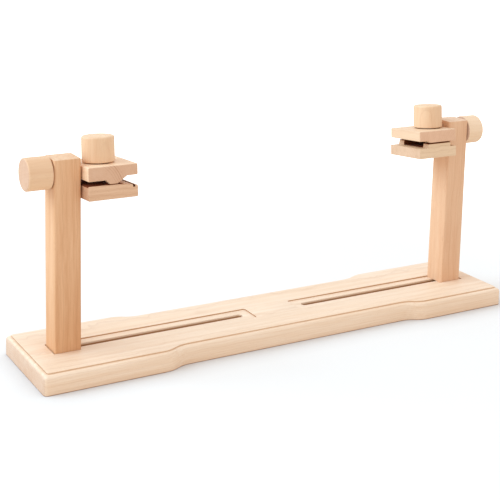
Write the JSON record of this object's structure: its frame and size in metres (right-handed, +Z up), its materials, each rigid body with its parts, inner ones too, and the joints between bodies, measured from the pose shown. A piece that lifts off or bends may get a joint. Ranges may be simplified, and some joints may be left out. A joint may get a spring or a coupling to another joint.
{
  "type": "embroidery hoop stand",
  "caption": "Wooden table stand with two sliding posts and two tilting, screw-closed clamps that hold an embroidery hoop.",
  "frame": {"origin": "centre of the base plank on its underside, where it stands on the table", "axes": "+X to the right along the base, +Y from the front to the back, +Z up"},
  "size_m": [0.48, 0.1, 0.2011],
  "materials": {
    "base_plank": "fine sanded beech",
    "left_post": "fine sanded beech",
    "left_foot_insert": "plain brass",
    "left_foot_bolt": "zinc plated",
    "left_foot_washer": "zinc plated",
    "left_side_knob": "fine sanded beech",
    "left_side_knob_insert": "plain brass",
    "left_side_knob_washer": "zinc plated",
    "left_pivot_stud": "zinc plated",
    "left_jaw_spacer": "zinc plated",
    "left_upper_jaw": "fine sanded beech",
    "left_lower_jaw": "fine sanded beech",
    "left_clamp_bolt": "zinc plated",
    "left_top_knob": "fine sanded beech",
    "left_top_knob_insert": "plain brass",
    "left_top_knob_washer": "zinc plated",
    "right_post": "fine sanded beech",
    "right_foot_insert": "plain brass",
    "right_foot_bolt": "zinc plated",
    "right_foot_washer": "zinc plated",
    "right_side_knob": "fine sanded beech",
    "right_side_knob_insert": "plain brass",
    "right_side_knob_washer": "zinc plated",
    "right_pivot_stud": "zinc plated",
    "right_jaw_spacer": "zinc plated",
    "right_upper_jaw": "fine sanded beech",
    "right_lower_jaw": "fine sanded beech",
    "right_clamp_bolt": "zinc plated",
    "right_top_knob": "fine sanded beech",
    "right_top_knob_insert": "plain brass",
    "right_top_knob_washer": "zinc plated"
  },
  "bodies": {
    "base": {"base_plank": "base_plank"},
    "left_support": {"left_post": "left_post", "left_foot_insert": "left_foot_insert", "left_foot_bolt": "left_foot_bolt", "left_foot_washer": "left_foot_washer", "left_side_knob_washer": "left_side_knob_washer"},
    "left_clamp": {"left_upper_jaw": "left_upper_jaw", "left_pivot_stud": "left_pivot_stud", "left_jaw_spacer": "left_jaw_spacer", "left_top_knob_washer": "left_top_knob_washer"},
    "left_jaw_carriage": {"left_lower_jaw": "left_lower_jaw", "left_clamp_bolt": "left_clamp_bolt"},
    "left_tilt_knob": {"left_side_knob": "left_side_knob", "left_side_knob_insert": "left_side_knob_insert"},
    "left_closing_knob": {"left_top_knob": "left_top_knob", "left_top_knob_insert": "left_top_knob_insert"},
    "right_support": {"right_post": "right_post", "right_foot_insert": "right_foot_insert", "right_foot_bolt": "right_foot_bolt", "right_foot_washer": "right_foot_washer", "right_side_knob_washer": "right_side_knob_washer"},
    "right_clamp": {"right_upper_jaw": "right_upper_jaw", "right_pivot_stud": "right_pivot_stud", "right_jaw_spacer": "right_jaw_spacer", "right_top_knob_washer": "right_top_knob_washer"},
    "right_jaw_carriage": {"right_lower_jaw": "right_lower_jaw", "right_clamp_bolt": "right_clamp_bolt"},
    "right_tilt_knob": {"right_side_knob": "right_side_knob", "right_side_knob_insert": "right_side_knob_insert"},
    "right_closing_knob": {"right_top_knob": "right_top_knob", "right_top_knob_insert": "right_top_knob_insert"}
  },
  "joints": [
    {"name": "left_post_slide", "type": "slide", "parent": "base", "child": "left_support", "axis": [1, 0, 0], "range_m": [-0.0003, 0.146]},
    {"name": "left_clamp_tilt", "type": "hinge", "parent": "left_support", "child": "left_clamp", "pos_m": [-0.205, 0, 0.1715], "axis": [1, 0, 0], "continuous": true},
    {"name": "left_side_knob_turn", "type": "hinge", "parent": "left_clamp", "child": "left_tilt_knob", "pos_m": [-0.205, 0, 0.1715], "axis": [1, 0, 0], "range_deg": [-720, 0]},
    {"name": "left_top_knob_turn", "type": "hinge", "parent": "left_clamp", "child": "left_closing_knob", "pos_m": [-0.17335, 0, 0.1715], "axis": [0, -0.0698, -0.9976], "range_deg": [-2161, 73]},
    {"name": "left_lower_jaw_lift", "type": "slide", "parent": "left_clamp", "child": "left_jaw_carriage", "axis": [0, 0.0698, 0.9976], "range_m": [-0.006, 0.0002]},
    {"name": "right_post_slide", "type": "slide", "parent": "base", "child": "right_support", "axis": [-1, 0, 0], "range_m": [-0.0025, 0.1475]},
    {"name": "right_clamp_tilt", "type": "hinge", "parent": "right_support", "child": "right_clamp", "pos_m": [0.2065, 0, 0.1715], "axis": [1, 0, 0], "continuous": true},
    {"name": "right_side_knob_turn", "type": "hinge", "parent": "right_clamp", "child": "right_tilt_knob", "pos_m": [0.2065, 0, 0.1715], "axis": [-1, 0, 0], "range_deg": [-720, 0]},
    {"name": "right_top_knob_turn", "type": "hinge", "parent": "right_clamp", "child": "right_closing_knob", "pos_m": [0.17735, 0, 0.1715], "axis": [0, -0.0958, -0.9954], "range_deg": [-2161, 145]},
    {"name": "right_lower_jaw_lift", "type": "slide", "parent": "right_clamp", "child": "right_jaw_carriage", "axis": [0, 0.0958, 0.9954], "range_m": [-0.006, 0.0004]}
  ],
  "couplings": [
    {"joint": "left_top_knob_turn", "follows": "left_lower_jaw_lift", "rad_per_m": 6283.2},
    {"joint": "right_top_knob_turn", "follows": "right_lower_jaw_lift", "rad_per_m": 6283.2}
  ]
}
